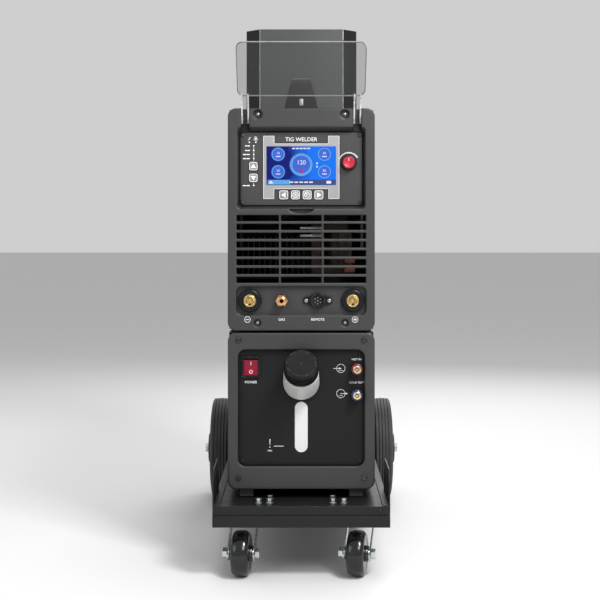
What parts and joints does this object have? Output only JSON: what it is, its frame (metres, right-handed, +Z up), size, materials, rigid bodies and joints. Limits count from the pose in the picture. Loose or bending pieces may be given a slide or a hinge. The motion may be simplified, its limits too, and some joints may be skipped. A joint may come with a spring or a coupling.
{
  "type": "tig welding machine",
  "caption": "Inverter welding power source on a water cooler, carried by a wheeled trolley with a gas bottle cradle.",
  "frame": {"origin": "centre of the bounding box's footprint, on the floor", "axes": "+Z up, -Y towards the control panel's side (the front), +X to the right seen from the front"},
  "size_m": [0.415, 0.9216, 1.012],
  "materials": {
    "trolley_steel": "satin powder coat, dark grey",
    "zinc_steel": "zinc plated, semi bright",
    "tyre": "matt dark rubber with circumferential ribs",
    "wheel_plastic": "satin black",
    "castor_tread": "glossy worn black tread",
    "bezel_plastic": "fine textured dark grey",
    "panel_paint": "matt near-black powder coat",
    "cover_paint": "fine textured black powder coat",
    "rubber": "matt",
    "tank_plastic": "satin natural white",
    "black_plastic": "semi gloss",
    "red_plastic": "glossy red",
    "blue_plastic": "anodised look blue",
    "brass": "turned, bright",
    "pump_housing": "matt grey",
    "aluminium": "raw",
    "control_face": "satin mid grey printed sheet",
    "screen": "lit screen in a light grey frame",
    "key_plastic": "light grey membrane keys",
    "clear_plastic": "clear, polished edges",
    "copper": "enamelled copper winding"
  },
  "bodies": {
    "root": {"base_frame": "trolley_steel", "deck_pan": "trolley_steel", "bottle_platform": "trolley_steel", "bottle_cradle": "trolley_steel", "rear_axle": "zinc_steel", "castor_plate_left": "zinc_steel", "castor_plate_right": "zinc_steel", "cooler_bezel": "bezel_plastic", "inverter_bezel": "bezel_plastic", "inverter_rear_panel": "bezel_plastic", "cooler_panel": "panel_paint", "cooler_case": "cover_paint", "cooler_chassis": "cover_paint", "inverter_case": "cover_paint", "inverter_base": "cover_paint", "cooler_foot_left": "rubber", "cooler_foot_right": "rubber", "coolant_tank": "tank_plastic", "switch_housing": "black_plastic", "carry_handle": "black_plastic", "minus_socket": "black_plastic", "plus_socket": "black_plastic", "control_socket": "black_plastic", "hot_coupling": "brass", "cold_coupling": "brass", "minus_contact": "brass", "plus_contact": "brass", "gas_outlet": "brass", "coolant_pump": "pump_housing", "radiator": "aluminium", "heat_sink": "aluminium", "control_panel": "control_face", "display": "screen", "transformer": "copper"},
    "castor_fork_left": {"castor_fork_left": "zinc_steel", "castor_axle_left": "zinc_steel"},
    "castor_wheel_left": {"castor_wheel_left": "castor_tread"},
    "rear_wheel_left": {"rear_tyre_left": "tyre", "rear_rim_left": "wheel_plastic"},
    "castor_fork_right": {"castor_fork_right": "zinc_steel", "castor_axle_right": "zinc_steel"},
    "castor_wheel_right": {"castor_wheel_right": "castor_tread"},
    "rear_wheel_right": {"rear_tyre_right": "tyre", "rear_rim_right": "wheel_plastic"},
    "cap_carrier": {"cap_seal": "rubber"},
    "tank_cap": {"tank_cap": "black_plastic"},
    "switch_rocker": {"switch_rocker": "red_plastic"},
    "hot_collar": {"hot_collar": "red_plastic"},
    "cold_collar": {"cold_collar": "blue_plastic"},
    "key_back": {"key_back": "key_plastic"},
    "key_menu": {"key_menu": "key_plastic"},
    "key_mode": {"key_mode": "key_plastic"},
    "key_forward": {"key_forward": "key_plastic"},
    "key_up": {"key_up": "key_plastic"},
    "key_down": {"key_down": "key_plastic"},
    "parameter_knob": {"parameter_knob": "red_plastic"},
    "display_cover": {"display_cover": "clear_plastic"},
    "cooler_fan": {"cooler_fan": "black_plastic"},
    "inverter_fan": {"inverter_fan": "black_plastic"},
    "main_switch": {"main_switch": "black_plastic"}
  },
  "joints": [
    {"name": "castor_swivel_left", "type": "hinge", "parent": "root", "child": "castor_fork_left", "pos_m": [-0.0984, -0.39557, 0.09], "axis": [0, 0, 1], "continuous": true},
    {"name": "castor_roll_left", "type": "hinge", "parent": "castor_fork_left", "child": "castor_wheel_left", "pos_m": [-0.10049, -0.41948, 0.038], "axis": [0.9962, -0.0872, 0], "continuous": true},
    {"name": "rear_roll_left", "type": "hinge", "parent": "root", "child": "rear_wheel_left", "pos_m": [-0.173, 0.21283, 0.107], "axis": [1, 0, 0], "continuous": true},
    {"name": "castor_swivel_right", "type": "hinge", "parent": "root", "child": "castor_fork_right", "pos_m": [0.0984, -0.39557, 0.09], "axis": [0, 0, 1], "continuous": true},
    {"name": "castor_roll_right", "type": "hinge", "parent": "castor_fork_right", "child": "castor_wheel_right", "pos_m": [0.09382, -0.41913, 0.038], "axis": [0.9816, -0.1908, 0], "continuous": true},
    {"name": "rear_roll_right", "type": "hinge", "parent": "root", "child": "rear_wheel_right", "pos_m": [0.173, 0.21283, 0.107], "axis": [1, 0, 0], "continuous": true},
    {"name": "cap_lift", "type": "slide", "parent": "root", "child": "cap_carrier", "axis": [0, -0.788, 0.6157], "range_m": [0, 0.0091]},
    {"name": "cap_turn", "type": "hinge", "parent": "cap_carrier", "child": "tank_cap", "pos_m": [0, -0.42057, 0.34508], "axis": [0, -0.788, 0.6157], "range_deg": [0, 540]},
    {"name": "switch_toggle", "type": "hinge", "parent": "root", "child": "switch_rocker", "pos_m": [-0.086, -0.37617, 0.346], "axis": [1, 0, 0], "range_deg": [-12, 0]},
    {"name": "hot_collar_slide", "type": "slide", "parent": "root", "child": "hot_collar", "axis": [0, 1, 0], "range_m": [0, 0.003], "stiffness_N_per_m": 300},
    {"name": "cold_collar_slide", "type": "slide", "parent": "root", "child": "cold_collar", "axis": [0, 1, 0], "range_m": [0, 0.003], "stiffness_N_per_m": 300},
    {"name": "key_back_press", "type": "slide", "parent": "root", "child": "key_back", "axis": [0, 1, 0], "range_m": [0, 0.001], "stiffness_N_per_m": 500},
    {"name": "key_menu_press", "type": "slide", "parent": "root", "child": "key_menu", "axis": [0, 1, 0], "range_m": [0, 0.001], "stiffness_N_per_m": 500},
    {"name": "key_mode_press", "type": "slide", "parent": "root", "child": "key_mode", "axis": [0, 1, 0], "range_m": [0, 0.001], "stiffness_N_per_m": 500},
    {"name": "key_forward_press", "type": "slide", "parent": "root", "child": "key_forward", "axis": [0, 1, 0], "range_m": [0, 0.001], "stiffness_N_per_m": 500},
    {"name": "key_up_press", "type": "slide", "parent": "root", "child": "key_up", "axis": [0, 1, 0], "range_m": [0, 0.001], "stiffness_N_per_m": 500},
    {"name": "key_down_press", "type": "slide", "parent": "root", "child": "key_down", "axis": [0, 1, 0], "range_m": [0, 0.001], "stiffness_N_per_m": 500},
    {"name": "knob_turn", "type": "hinge", "parent": "root", "child": "parameter_knob", "pos_m": [0.0808, -0.38417, 0.6949], "axis": [0, 1, 0], "continuous": true},
    {"name": "cover_hinge", "type": "hinge", "parent": "root", "child": "display_cover", "pos_m": [0, -0.38317, 0.763], "axis": [1, 0, 0], "range_deg": [0, 145]},
    {"name": "cooler_fan_spin", "type": "hinge", "parent": "root", "child": "cooler_fan", "pos_m": [0, 0.12083, 0.275], "axis": [0, 1, 0], "continuous": true},
    {"name": "inverter_fan_spin", "type": "hinge", "parent": "root", "child": "inverter_fan", "pos_m": [0, 0.12083, 0.6], "axis": [0, 1, 0], "continuous": true},
    {"name": "main_switch_turn", "type": "hinge", "parent": "root", "child": "main_switch", "pos_m": [-0.08, 0.15583, 0.735], "axis": [0, 1, 0], "range_deg": [0, 90]}
  ],
  "couplings": [
    {"joint": "cap_lift", "follows": "cap_turn", "m_per_rad": 0.00095493}
  ]
}
